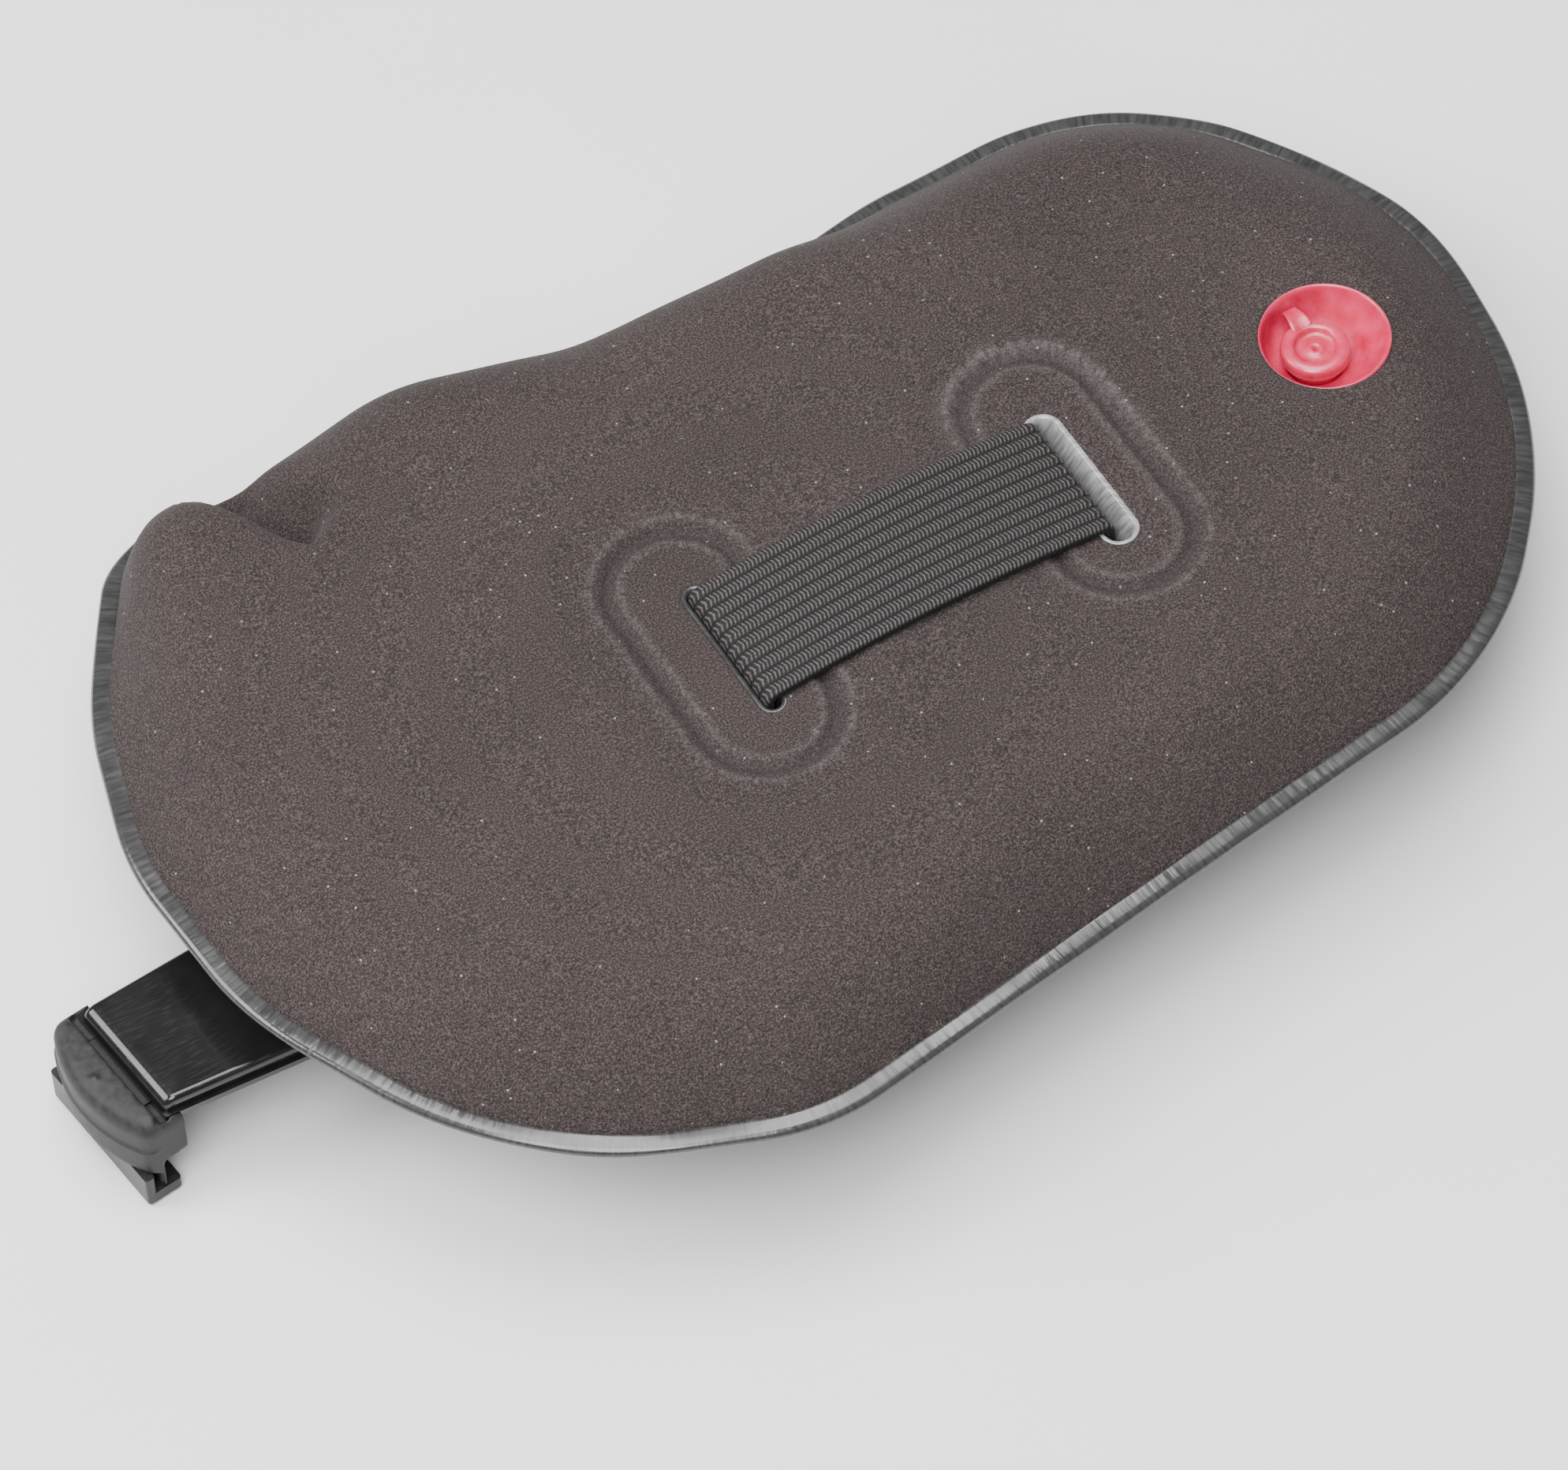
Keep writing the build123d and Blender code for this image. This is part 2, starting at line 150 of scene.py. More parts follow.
def rounded(corners, closed):
    """Points of a polyline whose corners (x, y, radius) are rounded."""
    points = []
    count = len(corners)
    for i, (x, y, radius) in enumerate(corners):
        corner = np.array((x, y), float)
        if radius == 0 or (not closed and i in (0, count - 1)):
            points.append(corner)
            continue
        before = np.array(corners[i - 1][:2], float) - corner
        after = np.array(corners[(i + 1) % count][:2], float) - corner
        before /= np.linalg.norm(before)
        after /= np.linalg.norm(after)
        half = math.acos(np.clip(before @ after, -1, 1)) / 2
        inward = (before + after) / np.linalg.norm(before + after)
        centre = corner + inward * radius / math.sin(half)
        start = corner + before * radius / math.tan(half) - centre
        end = corner + after * radius / math.tan(half) - centre
        sweep = math.pi - 2 * half
        for t in np.linspace(0, 1, 25):
            spoke = math.sin((1 - t) * sweep) * start + math.sin(t * sweep) * end
            points.append(centre + spoke / math.sin(sweep))
    return np.array(points)


def resample(points, step, closed):
    """The same line with evenly spaced points."""
    line = np.vstack([points, points[:1]]) if closed else np.asarray(points)
    run = np.concatenate([[0], np.cumsum(np.linalg.norm(np.diff(line, axis=0), axis=1))])
    count = max(3, int(round(run[-1] / step)))
    at = np.linspace(0, run[-1], count, endpoint=False) if closed else np.linspace(0, run[-1], count + 1)
    return np.column_stack([np.interp(at, run, line[:, k]) for k in range(line.shape[1])])


def outline_loop(inset, step):
    """The cushion's outline, drawn in by an inset."""
    loop = resample(rounded(OUTLINE, True), step, True)
    along = np.roll(loop, -1, axis=0) - np.roll(loop, 1, axis=0)
    along /= np.linalg.norm(along, axis=1)[:, None]
    return loop + np.column_stack([along[:, 1], -along[:, 0]]) * inset


def stadium_loop(x, y, width, length, step):
    """Slot-shaped loop round (x, y) with its long side along Y."""
    radius = width / 2
    straight = (length - width) / 2
    turn = np.linspace(0, math.pi, 33)
    upper = np.column_stack([radius * np.cos(turn), straight + radius * np.sin(turn)])
    return resample(np.vstack([upper, -upper]) + (x, y), step, True)


def stadium_distance(x, y, cx, cy, width, length):
    """Signed distance from a slot-shaped loop: negative inside it."""
    straight = (length - width) / 2
    return np.hypot(x - cx, np.maximum(np.abs(y - cy) - straight, 0)) - width / 2


def slot_shape(side, grow):
    """Middle, width and length of one slot's opening, grown all round."""
    x, y, width, length = SLOTS[side]
    return x, y, width + 2 * grow, length + 2 * grow


def ring_distance(x, y, side):
    """Signed distance from the pressed ring round one slot."""
    return stadium_distance(x, y, side * SLOT_X, RING_Y, RING_WIDTH, RING_LENGTH)


def circle_loop(x, y, radius, count):
    """Round loop."""
    turn = np.linspace(0, 2 * math.pi, count, endpoint=False)
    return np.column_stack([x + radius * np.cos(turn), y + radius * np.sin(turn)])


def grid_faces(rows, columns, close_rows, close_columns):
    """Quads over a grid of points stored row by row."""
    faces = []
    for i in range(rows if close_rows else rows - 1):
        for j in range(columns if close_columns else columns - 1):
            a = i * columns + j
            b = i * columns + (j + 1) % columns
            c = (i + 1) % rows * columns + (j + 1) % columns
            d = (i + 1) % rows * columns + j
            faces.append((a, b, c, d))
    return faces


def make(name, points, faces, materials, body=None, uv=None):
    """Mesh object from points in millimetres, smooth shaded, riding on a body. uv is one pair a point."""
    mesh = bpy.data.meshes.new(name)
    mesh.from_pydata([tuple(p) for p in np.asarray(points, float) * MM], [], faces)
    mesh.shade_smooth()
    if uv is not None:
        corners = np.zeros(len(mesh.loops), int)
        mesh.loops.foreach_get("vertex_index", corners)
        layer = mesh.uv_layers.new(name="run")
        layer.data.foreach_set("uv", np.asarray(uv, np.float32)[corners].ravel())
    for item in materials:
        mesh.materials.append(item)
    obj = bpy.data.objects.new(name, mesh)
    bpy.context.scene.collection.objects.link(obj)
    if body:
        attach(obj, body)
    return obj


def face_outwards(obj):
    """Turns a closed mesh's faces so that they all look outwards."""
    mesh = bmesh.new()
    mesh.from_mesh(obj.data)
    bmesh.ops.recalc_face_normals(mesh, faces=mesh.faces)
    mesh.to_mesh(obj.data)
    mesh.free()


def subdivide(obj, levels):
    """Catmull-Clark subdivision that stays on the piece."""
    modifier = obj.modifiers.new("subdivision", "SUBSURF")
    modifier.levels = levels
    modifier.render_levels = levels


# ---------------------------------------------------------------- materials

class Look:
    """A principled material whose varying inputs are built from procedural nodes."""

    def __init__(self, name, color, roughness, **sockets):
        self.material = bpy.data.materials.new(name)
        self.material.use_nodes = True
        self.nodes = self.material.node_tree.nodes
        self.links = self.material.node_tree.links
        self.shader = self.nodes["Principled BSDF"]
        self.shader.inputs["Base Color"].default_value = (*color, 1)
        self.shader.inputs["Roughness"].default_value = roughness
        for socket, value in sockets.items():
            self.shader.inputs[socket.replace("_", " ")].default_value = value
        self.place = self.nodes.new("ShaderNodeTexCoord").outputs["Object"]

    def stretched(self, scale, source=None):
        """Coordinates in millimetres, scaled along each axis."""
        mapping = self.nodes.new("ShaderNodeMapping")
        unit = 1 / MM if source is None else 1
        mapping.inputs["Scale"].default_value = [unit * value for value in scale]
        self.links.new(source or self.place, mapping.inputs["Vector"])
        return mapping.outputs["Vector"]

    def noise(self, size_mm, detail=2.0, vector=None):
        """Noise with grains of about this size. A vector of its own is in millimetres."""
        texture = self.nodes.new("ShaderNodeTexNoise")
        texture.inputs["Scale"].default_value = 1 / (size_mm * (MM if vector is None else 1))
        texture.inputs["Detail"].default_value = detail
        self.links.new(vector or self.place, texture.inputs["Vector"])
        return texture.outputs["Fac"]

    def cells(self, size_mm):
        """Distance from scattered points about this far apart."""
        texture = self.nodes.new("ShaderNodeTexVoronoi")
        texture.inputs["Scale"].default_value = 1 / (size_mm * MM)
        self.links.new(self.place, texture.inputs["Vector"])
        return texture.outputs["Distance"]

    def ramp(self, value, *stops):
        """Colour ramp: stops are (position, colour or grey)."""
        node = self.nodes.new("ShaderNodeValToRGB")
        elements = node.color_ramp.elements
        while len(elements) < len(stops):
            elements.new(0.5)
        for element, (position, color) in zip(elements, stops):
            element.position = position
            color = (color,) * 3 if isinstance(color, (int, float)) else color
            element.color = (*color, 1)
        self.links.new(value, node.inputs["Fac"])
        return node.outputs["Color"]

    def mix(self, kind, share, first, second):
        """Blends two colours; share is a number or an output."""
        node = self.nodes.new("ShaderNodeMix")
        node.data_type = "RGBA"
        node.blend_type = kind
        if isinstance(share, (int, float)):
            node.inputs["Factor"].default_value = share
        else:
            self.links.new(share, node.inputs["Factor"])
        colors = [i for i in node.inputs if i.type == "RGBA"]
        self.links.new(first, colors[0])
        self.links.new(second, colors[1])
        return [o for o in node.outputs if o.type == "RGBA"][0]

    def sum(self, operation, first, second=0.0):
        """One arithmetic step on outputs or numbers."""
        node = self.nodes.new("ShaderNodeMath")
        node.operation = operation
        for socket, value in zip(node.inputs, (first, second)):
            if isinstance(value, (int, float)):
                socket.default_value = value
            else:
                self.links.new(value, socket)
        return node.outputs[0]

    def attribute(self, name):
        """A value stored on the mesh's points."""
        node = self.nodes.new("ShaderNodeAttribute")
        node.attribute_name = name
        return node.outputs["Fac"]

    def run(self):
        """How far along a strip, and how far across it, in millimetres."""
        source = self.nodes.new("ShaderNodeUVMap")
        source.uv_map = "run"
        parts = self.nodes.new("ShaderNodeSeparateXYZ")
        self.links.new(source.outputs["UV"], parts.inputs[0])
        return source.outputs["UV"], parts.outputs["X"], parts.outputs["Y"]

    def color(self, output):
        """Feeds the base colour."""
        self.links.new(output, self.shader.inputs["Base Color"])
        return self

    def roughness(self, output):
        """Feeds the roughness."""
        self.links.new(output, self.shader.inputs["Roughness"])
        return self

    def bump(self, value, height_mm, strength=1.0):
        """Fine relief from a value, of about this height."""
        node = self.nodes.new("ShaderNodeBump")
        node.inputs["Distance"].default_value = height_mm * MM
        node.inputs["Strength"].default_value = strength
        self.links.new(value, node.inputs["Height"])
        if self.shader.inputs["Normal"].links:
            self.links.new(self.shader.inputs["Normal"].links[0].from_socket, node.inputs["Normal"])
        self.links.new(node.outputs["Normal"], self.shader.inputs["Normal"])
        return self


def flock_look():
    """Grey flocked foam laminate: speckled pile, pale fibres, melted dark where it is pressed, and a painted
    highlight along the ridges beside the pressed rings.
    """
    sheen = {"Sheen_Weight": 0.04, "Sheen_Roughness": 0.5}
    look = Look("flock", (0.05, 0.04, 0.038), 0.9, **sheen, Specular_IOR_Level=0.12)
    pile = look.noise(0.25, 3.0)
    black, dark, grey = (0.015, 0.012, 0.012), (0.037, 0.029, 0.028), (0.088, 0.070, 0.068)
    tone = look.ramp(pile, (0.30, black), (0.5, dark), (0.70, grey))
    cloud = look.ramp(look.noise(30, 2.0), (0.3, 0.88), (0.7, 1.0))
    lint = look.ramp(look.cells(2.6), (0.04, 1.0), (0.07, 0.0))
    pale = look.ramp(pile, (0.3, (0.20, 0.185, 0.18)), (0.7, (0.30, 0.28, 0.27)))
    clouded = look.mix("MULTIPLY", 1.0, tone, cloud)
    linted = look.mix("MIX", lint, clouded, pale)
    melted = look.ramp(pile, (0.3, (0.014, 0.012, 0.012)), (0.7, (0.030, 0.026, 0.026)))
    flattened = look.attribute("pressed")
    # painted highlight: pale pile mixed in along the ridges of the pressed rings
    painted_highlight = look.mix("MIX", look.attribute("painted_ridge_highlight"), linted, pale)
    look.color(look.mix("MIX", flattened, painted_highlight, melted))
    look.roughness(look.ramp(flattened, (0.0, 0.92), (1.0, 0.42)))
    return look.bump(pile, 0.09, 0.6).material


def weld_look(name, dark, pale):
    """Glossy vinyl with fine streaks pressed across it; dark and pale are its two greys."""
    look = Look(name, (dark, dark, dark), 0.25, Specular_IOR_Level=0.7)
    strip = look.run()[0]
    streak = look.noise(1.0, 3.0, look.stretched((1.8, 0.25, 1), strip))
    patch = look.noise(1.0, 2.0, look.stretched((0.10, 0.2, 1), strip))
    look.color(look.ramp(streak, (0.35, dark), (0.75, pale)))
    look.roughness(look.ramp(patch, (0.35, 0.14), (0.65, 0.32)))
    return look.bump(streak, 0.05, 0.5).material


def elastic_look():
    """Black knitted elastic: chevrons of paler loops, a painted highlight on the black threads, between dark
    lengthwise grooves of painted shade.
    """
    look = Look("elastic_knit", (0.04, 0.04, 0.042), 0.7, Sheen_Weight=0.05, Specular_IOR_Level=0.3)
    strip, along, across = look.run()
    pitch = BAND_WIDTH / RIBS
    place = look.sum("FRACT", look.sum("DIVIDE", across, pitch))
    side = look.sum("MULTIPLY", look.sum("ABSOLUTE", look.sum("SUBTRACT", place, 0.5)), 2.0)
    phase = look.sum("ADD", look.sum("DIVIDE", along, LOOP_PITCH), look.sum("MULTIPLY", side, 0.55))
    wave = look.sum("COSINE", look.sum("MULTIPLY", phase, 2 * math.pi))
    loop = look.sum("ADD", look.sum("MULTIPLY", wave, 0.36), 0.5)
    fuzz = look.noise(1.0, 3.0, look.stretched((2, 5, 1), strip))
    wander = look.sum("MULTIPLY", look.sum("SUBTRACT", fuzz, 0.5), 0.9)
    thread = look.sum("ADD", loop, wander)
    groove = look.sum("POWER", side, 7.0)
    value = look.sum("SUBTRACT", thread, look.sum("MULTIPLY", groove, 1.0))
    black, dark, grey, pale = ((v, v * 0.86, v * 0.84) for v in (0.002, 0.006, 0.020, 0.11))
    # Colour: the paler loops are a painted highlight on the black threads, the dark grooves a painted shade
    # between the ribs.
    look.color(look.ramp(value, (0.0, black), (0.3, dark), (0.62, grey), (0.95, pale)))
    return look.bump(value, 0.09, 0.7).material


def arm_look():
    """Glossy black moulding with fine handling scratches."""
    look = Look("arm_moulding", (0.012, 0.012, 0.013), 0.22)
    scratch = look.noise(1.0, 4.0, look.stretched((0.4, 2.5, 1.0)))
    look.color(look.ramp(look.noise(6, 2.0), (0.3, (0.006, 0.006, 0.006)), (0.7, (0.011, 0.011, 0.011))))
    look.roughness(look.ramp(scratch, (0.45, 0.13), (0.75, 0.26)))
    return look.bump(scratch, 0.002, 0.3).material


def rubber_look():
    """Matte grey-black rubber with a faint dusty bloom."""
    look = Look("grip_rubber", (0.03, 0.03, 0.03), 0.6, Specular_IOR_Level=0.3)
    dust = look.noise(1.1, 4.0)
    look.color(look.ramp(dust, (0.35, (0.013, 0.013, 0.013)), (0.75, (0.032, 0.032, 0.032))))
    look.roughness(look.ramp(dust, (0.3, 0.45), (0.7, 0.62)))
    return look.bump(look.noise(0.3, 2.0), 0.02, 0.5).material


def strip_look():
    """Satin grey coating over bent metal."""
    look = Look("strip_coating", (0.015, 0.015, 0.015), 0.36, Specular_IOR_Level=0.35)
    grain = look.noise(0.5, 3.0)
    look.color(look.ramp(grain, (0.3, (0.010, 0.010, 0.010)), (0.7, (0.020, 0.020, 0.020))))
    return look.bump(grain, 0.02, 0.4).material


def steel_look():
    """Plated screw."""
    look = Look("screw_steel", (0.55, 0.55, 0.56), 0.3, Metallic=1.0)
    look.roughness(look.ramp(look.noise(0.4, 3.0), (0.3, 0.22), (0.7, 0.42)))
    return look.material


def thread_look():
    """Bonded thread."""
    look = Look("bonded_thread", (0.03, 0.03, 0.032), 0.55)
    twist = look.noise(0.2, 2.0)
    look.color(look.ramp(twist, (0.3, (0.018, 0.018, 0.02)), (0.7, (0.07, 0.07, 0.075))))
    return look.bump(twist, 0.04, 0.6).material


def valve_look():
    """Soft translucent red vinyl."""
    look = Look("valve_vinyl", (0.62, 0.03, 0.07), 0.27, Subsurface_Weight=0.15, Subsurface_Scale=0.0015)
    look.shader.inputs["Subsurface Radius"].default_value = (1.0, 0.2, 0.25)
    look.shader.inputs["Specular IOR Level"].default_value = 0.85
    cloud = look.noise(2.2, 2.0)
    look.color(look.ramp(cloud, (0.3, (0.50, 0.010, 0.050)), (0.7, (0.62, 0.032, 0.100))))
    look.roughness(look.ramp(look.noise(0.7, 2.0), (0.3, 0.22), (0.7, 0.36)))
    return look.bump(look.noise(0.9, 2.0), 0.03, 0.3).material


FLOCK = flock_look()
WELD = weld_look("weld_vinyl", 0.020, 0.050)
# The open right slot's liner: a paler copy of the vinyl, whose pale greys are a painted reflection.
PAINTED_REFLECTION_VINYL = weld_look("slot_vinyl_painted_reflection", 0.16, 0.36)
ELASTIC = elastic_look()
ARM = arm_look()
RUBBER = rubber_look()
STRIP = strip_look()
STEEL = steel_look()
THREAD = thread_look()
VALVE = valve_look()


# ---------------------------------------------------------------- cushion

def nearest_edge(points):
    """Distance of each point from the cushion's outline."""
    loop = outline_loop(0, 0.25)
    tree = KDTree(len(loop))
    for i, p in enumerate(loop):
        tree.insert((p[0], p[1], 0), i)
    tree.balance()
    return np.array([tree.find((p[0], p[1], 0))[2] for p in points])


def steep_side(x, y):
    """1 along the side by the dent, where the pad bulges over its own rim, and 0 elsewhere."""
    return smooth(y, 22, 40) * smooth(x, 34, 12) * smooth(x, -92, -76)


def rim_height(x, y):
    """The welded rim dips under the bulging side and waves a little elsewhere."""
    dip = 4.0 * steep_side(x, y)
    wave = 0.35 * np.sin(x / 17.0 + 1.0) * smooth(y, 0, -30)
    return RIM_Z - dip + wave


def rise(inset, width, full, sharp):
    """Share of its height that a filled skin reaches at some distance in from the weld."""
    t = np.clip((inset - WELD_WIDTH + 0.4) / width, 0, 1)
    return (1 - (1 - t) ** full) ** sharp


def groove(x, y, side):
    """Relief of the pressed ring round one slot: a melted groove, ridged and puckered."""
    ring = ring_distance(x, y, side)
    angle = np.arctan2(y - RING_Y, x - side * SLOT_X)
    pucker = np.array([noise.noise((a * 17, side * 5.0, r * 0.25)) for a, r in zip(angle, ring)])
    relief = -0.6 * np.exp(-(ring / 0.85) ** 2) + 0.20 * np.exp(-((ring + 1.7) / 0.5) ** 2)
    relief += 0.28 * np.exp(-((ring - 2.3) / 0.9) ** 2)
    return relief + 0.15 * pucker * np.exp(-((ring - 0.6) / 1.5) ** 2)


def top_height(x, y, inset):
    """Height of the top skin."""
    steep = steep_side(x, y)
    crown = TOP_Z + 2 - 2 * ((x + 20) / 85) ** 2 - (y / 60) ** 2
    bowl = np.maximum(np.hypot(x - VALVE_X, y - VALVE_Y) - BOWL_R, 0)
    crown = crown + (TOP_Z - crown) * np.exp(-(bowl / 11) ** 2)
    relief = np.zeros_like(x)
    for side in (-1, 1):
        ring = ring_distance(x, y, side)
        crown = crown + (TOP_Z + 0.6 - crown) * 0.9 * smooth(ring, 9, -1.5)
        relief += groove(x, y, side)
    # swells and kinks where the steep side is pinched by its weld
    for at, reach, height in ((-41, 11, 1.8), (-17, 6, -1.1), (-2, 8, 0.4), (14, 8, 0.8), (30, 9, -0.6)):
        crown = crown + height * steep * np.exp(-((x - at) / reach) ** 2) * smooth(inset, 24, 3)
    crown = crown - 1.2 * smooth(x, 55, 92) - 1.0 * bump_at(x, y, 56, 36, 14, 8)
    base = rim_height(x, y) + WELD_HALF * 0.6
    gentle = base + (crown - base) * rise(inset, 15, 2.0, 1.0)
    bulging = base + (crown - base) * rise(inset, 13, 2.0, 0.5)
    z = gentle + (bulging - gentle) * steep
    # the dent: a crease from a notch in the edge in to a dimple, steep beside its swollen lobe
    along = (x - DENT_X) * DENT_COS - (y - DENT_Y) * DENT_SIN
    beside = (x - DENT_X) * DENT_SIN + (y - DENT_Y) * DENT_COS
    across = smooth(beside, -1.0, 1.0) * smooth(beside, 11, 2.5)
    depth = DENT_DEPTH * smooth(along, 17, 11) * across
    lobe = bump_at(x, y, -77, 55, 9, 8)
    z = z - (depth - LOBE_HEIGHT * lobe) * smooth(inset, 2.5, 5.5)
    return z + relief


def under_height(x, y, inset):
    """Height of the underside skin, pressed flat where the arms and the band lie on it."""
    floor = BOTTOM_Z - 1.3 * smooth(np.abs(y), 15, 30)
    relief = np.zeros_like(x)
    for side in (-1, 1):
        floor = floor + (BOTTOM_Z + 0.9 - floor) * 0.9 * smooth(ring_distance(x, y, side), 10, -1.5)
        relief -= 0.7 * groove(x, y, side)
    base = rim_height(x, y) - WELD_HALF * 0.6
    return base + (floor - base) * rise(inset, 21, 2.3, 1.0) + relief


def pressed(x, y):
    """How far the flock is melted flat: most in the middle of the pressed rings."""
    nearest = np.minimum(np.abs(ring_distance(x, y, -1)), np.abs(ring_distance(x, y, 1)))
    return 0.55 * np.exp(-(nearest / 0.8) ** 2)


def painted_ridge_highlight(x, y):
    """How pale the pile is painted: a painted highlight along the ridges beside the pressed rings and on the
    upper side of the right ring, broken by a radial hatch.
    """
    side = np.where(x < 0, -1, 1)
    ring = ring_distance(x, y, side)
    angle = np.arctan2(y - RING_Y, x - side * SLOT_X)
    hatch = np.array([noise.noise((a * 45, b * 5.0, r * 0.6)) for a, b, r in zip(angle, side, ring)])
    ridges = 0.17 * np.exp(-((ring + 1.7) / 0.45) ** 2) + 0.16 * np.exp(-((ring - 2.1) / 0.5) ** 2)
    # painted highlight on the upper side of the right ring only
    painted_highlight = 0.13 * np.exp(-((ring - 1.2) / 1.3) ** 2) * smooth(angle, -0.5, 0.4) * (side > 0)
    return np.clip((ridges + painted_highlight) * (0.5 + 1.0 * hatch), 0, 1)


def plan_mesh(loops, rows, keep_out):
    """Triangles over the cushion's plan. loops are edges; rows are extra lines of points."""
    points = []
    edges = []
    for loop in loops:
        first = len(points)
        points += [tuple(p) for p in loop]
        edges += [(first + i, first + (i + 1) % len(loop)) for i in range(len(loop))]
    for row in rows:
        points += [tuple(p) for p in row]
    low = np.min(loops[0], axis=0)
    high = np.max(loops[0], axis=0)
    lift = GRID * math.sqrt(3) / 2
    field = []
    for j, y in enumerate(np.arange(low[1], high[1], lift)):
        for x in np.arange(low[0] + (j % 2) * GRID / 2, high[0], GRID):
            field.append((x, y))
    field = np.array(field)
    field = field[inside(field, loops[0])]
    inset = nearest_edge(field)
    field = field[(inset > WELD_REACH) & ~keep_out(field[:, 0], field[:, 1])]
    points += [tuple(p) for p in field]
    made = delaunay_2d_cdt([Vector(p) for p in points], edges, [], 0, 1e-4)
    flat = np.array([tuple(v) for v in made[0]])
    triangles = np.array(made[2])
    middle = flat[triangles].mean(axis=1)
    good = inside(middle, loops[0])
    for hole in loops[1:]:
        good &= ~inside(middle, hole)
    return flat, triangles[good]


def inside(points, loop):
    """Whether each point is inside a closed loop."""
    result = np.zeros(len(points), bool)
    px, py = points[:, 0], points[:, 1]
    for a, b in zip(loop, np.roll(loop, -1, axis=0)):
        if a[1] == b[1]:
            continue
        crosses = (a[1] > py) != (b[1] > py)
        at = (b[0] - a[0]) * (py - a[1]) / (b[1] - a[1]) + a[0]
        result ^= crosses & (px < at)
    return result


def skin_plan(with_valve):
    """Plan of one skin: its triangles, finest along the weld, the rings and the holes."""
    loops = [outline_loop(WELD_WIDTH - 0.5, 1.0)]
    rows = [outline_loop(d, 1.2) for d in WELD_ROWS]
    for side in (-1, 1):
        ring_x = side * SLOT_X
        loops.append(stadium_loop(*slot_shape(side, LINER), 0.8))
        for grow in SLOT_ROWS:
            rows.append(stadium_loop(*slot_shape(side, LINER + grow), 0.9))
        for grow in RING_ROWS:
            width, length = RING_WIDTH + 2 * grow, RING_LENGTH + 2 * grow
            rows.append(stadium_loop(ring_x, RING_Y, width, length, 0.5))
    if with_valve:
        loops.append(circle_loop(VALVE_X, VALVE_Y, BOWL_R, BOWL_POINTS))
        for grow in BOWL_ROWS:
            rows.append(circle_loop(VALVE_X, VALVE_Y, BOWL_R + grow, BOWL_POINTS))

    def keep_out(x, y):
        near = np.zeros(len(x), bool)
        for side in (-1, 1):
            hole = stadium_distance(x, y, *slot_shape(side, LINER))
            near |= (np.abs(ring_distance(x, y, side)) < RING_REACH) | (hole < SLOT_REACH)
        if with_valve:
            near |= np.hypot(x - VALVE_X, y - VALVE_Y) < BOWL_R + BOWL_REACH
        return near

    return plan_mesh(loops, rows, keep_out)


def boundary_loops(triangles):
    """The open edges of a triangle mesh, as directed pairs."""
    seen = {}
    for a, b, c in triangles:
        for edge in ((a, b), (b, c), (c, a)):
            seen[edge] = True
    return [edge for edge in seen if (edge[1], edge[0]) not in seen]


def cushion():
    """The air cushion: two crowned skins closed along the weld and down the slots."""
    top_flat, top_faces = skin_plan(True)
    low_flat, low_faces = skin_plan(False)
    top_z = top_height(top_flat[:, 0], top_flat[:, 1], nearest_edge(top_flat))
    low_z = under_height(low_flat[:, 0], low_flat[:, 1], nearest_edge(low_flat))
    points = [(*p, z) for p, z in zip(top_flat, top_z)]
    faces = [tuple(f) for f in top_faces]
    first = len(points)
    points += [(*p, z) for p, z in zip(low_flat, low_z)]
    faces += [(a + first, c + first, b + first) for a, b, c in low_faces]
    places = {(round(p[0], 3), round(p[1], 3)): i for i, p in enumerate(low_flat)}
    cup = {}
    for a, b in boundary_loops(top_faces):
        pair = [places.get((round(top_flat[k][0], 3), round(top_flat[k][1], 3))) for k in (a, b)]
        around = np.hypot(top_flat[a][0] - VALVE_X, top_flat[a][1] - VALVE_Y) < BOWL_R + 0.1
        if around or None in pair:
            for k in (a, b):
                if k not in cup:
                    cup[k] = len(points)
                    points.append((*top_flat[k], BOTTOM_Z + CUP_LIFT))
            faces.append((b, a, cup[a], cup[b]))
        else:
            faces.append((b, a, pair[0] + first, pair[1] + first))

    def bearing(k):
        return math.atan2(points[k][1] - VALVE_Y, points[k][0] - VALVE_X)

    faces.append(tuple(sorted(cup.values(), key=bearing)))
    obj = make("cushion", points, faces, [FLOCK], "cushion")
    face_outwards(obj)
    place = np.array(points)
    # the melted darkening of the pressed rings and the painted highlight along their ridges, stored on the
    # points
    for kind in (pressed, painted_ridge_highlight):
        layer = obj.data.attributes.new(kind.__name__, "FLOAT", "POINT")
        layer.data.foreach_set("value", kind(place[:, 0], place[:, 1]).astype(np.float32))
    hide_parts("cushion_top_skin", "cushion_bottom_skin")


